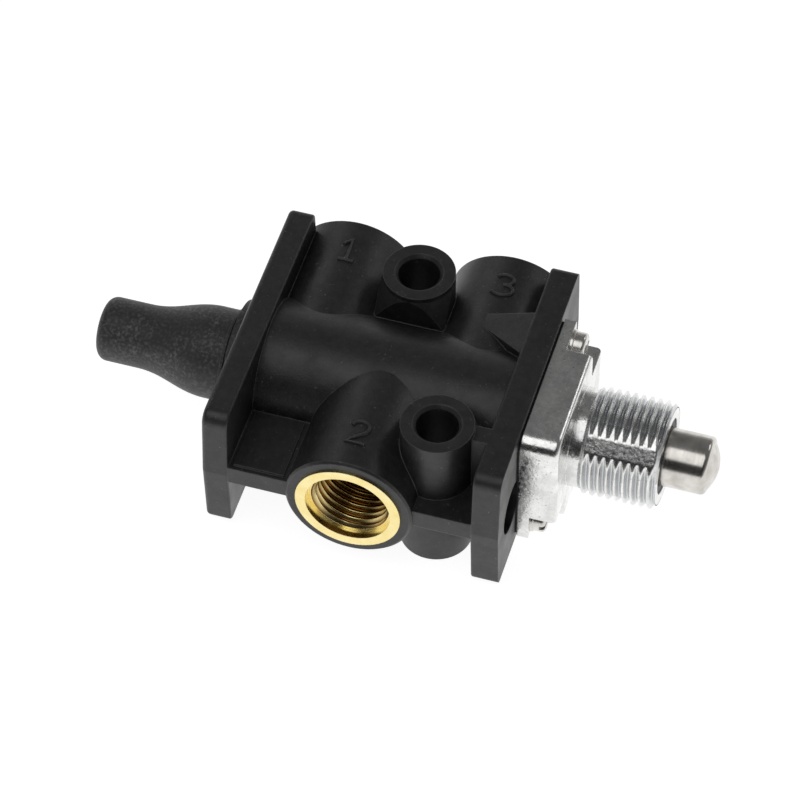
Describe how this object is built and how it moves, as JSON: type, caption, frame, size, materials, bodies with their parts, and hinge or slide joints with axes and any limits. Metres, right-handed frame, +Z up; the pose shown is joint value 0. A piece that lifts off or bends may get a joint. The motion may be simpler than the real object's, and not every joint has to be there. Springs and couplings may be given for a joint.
{
  "type": "plunger air valve",
  "caption": "Spring-returned plunger valve for compressed air: moulded body with brass threaded ports, tapered end cap, die-cast head with threaded neck and a sliding steel plunger.",
  "frame": {"origin": "on the spool's axis, at the centre of the pattern of the two mounting holes, midway between the mounting faces", "axes": "+X along the spool towards the plunger's tip, +Y out of ports 1 and 3, +Z up along the mounting holes"},
  "size_m": [0.1056, 0.0515, 0.0274],
  "materials": {
    "body": "matt, fine grain",
    "cap": "matt, dusty",
    "seals": "matt",
    "gasket": "matt",
    "head": "bright die casting, lightly pitted",
    "screws": "plated",
    "plunger": "ground, polished",
    "bush": "machined",
    "inserts": "machined, bright",
    "cages": "machined",
    "spool": "polished",
    "spring": "drawn wire"
  },
  "bodies": {
    "valve": {"body_moulding": "body", "end_cap": "cap", "cap_ring": "seals", "head_gasket": "gasket", "head_ring": "seals", "head_screws": "screws", "operator_head": "head", "plunger_bush": "bush", "plunger_wiper": "seals", "port_insert_1": "inserts", "port_insert_2": "inserts", "port_insert_3": "inserts", "inlet_cage": "cages", "outlet_cage": "cages", "exhaust_cage": "cages", "spool_seal_1": "seals", "spool_seal_2": "seals", "spool_seal_3": "seals", "spool_seal_4": "seals", "return_spring": "spring"},
    "plunger": {"plunger": "plunger", "plunger_clip": "spring"},
    "spool": {"spool": "spool"}
  },
  "joints": [
    {"name": "plunger_push", "type": "slide", "parent": "valve", "child": "plunger", "axis": [-1, 0, 0], "range_m": [0, 0.005], "stiffness_N_per_m": 1000, "springref_m": -0.01, "deforming": ["return_spring"]},
    {"name": "spool_slide", "type": "slide", "parent": "valve", "child": "spool", "axis": [-1, 0, 0], "range_m": [0, 0.005]}
  ],
  "couplings": [
    {"joint": "spool_slide", "follows": "plunger_push", "ratio": 1}
  ]
}
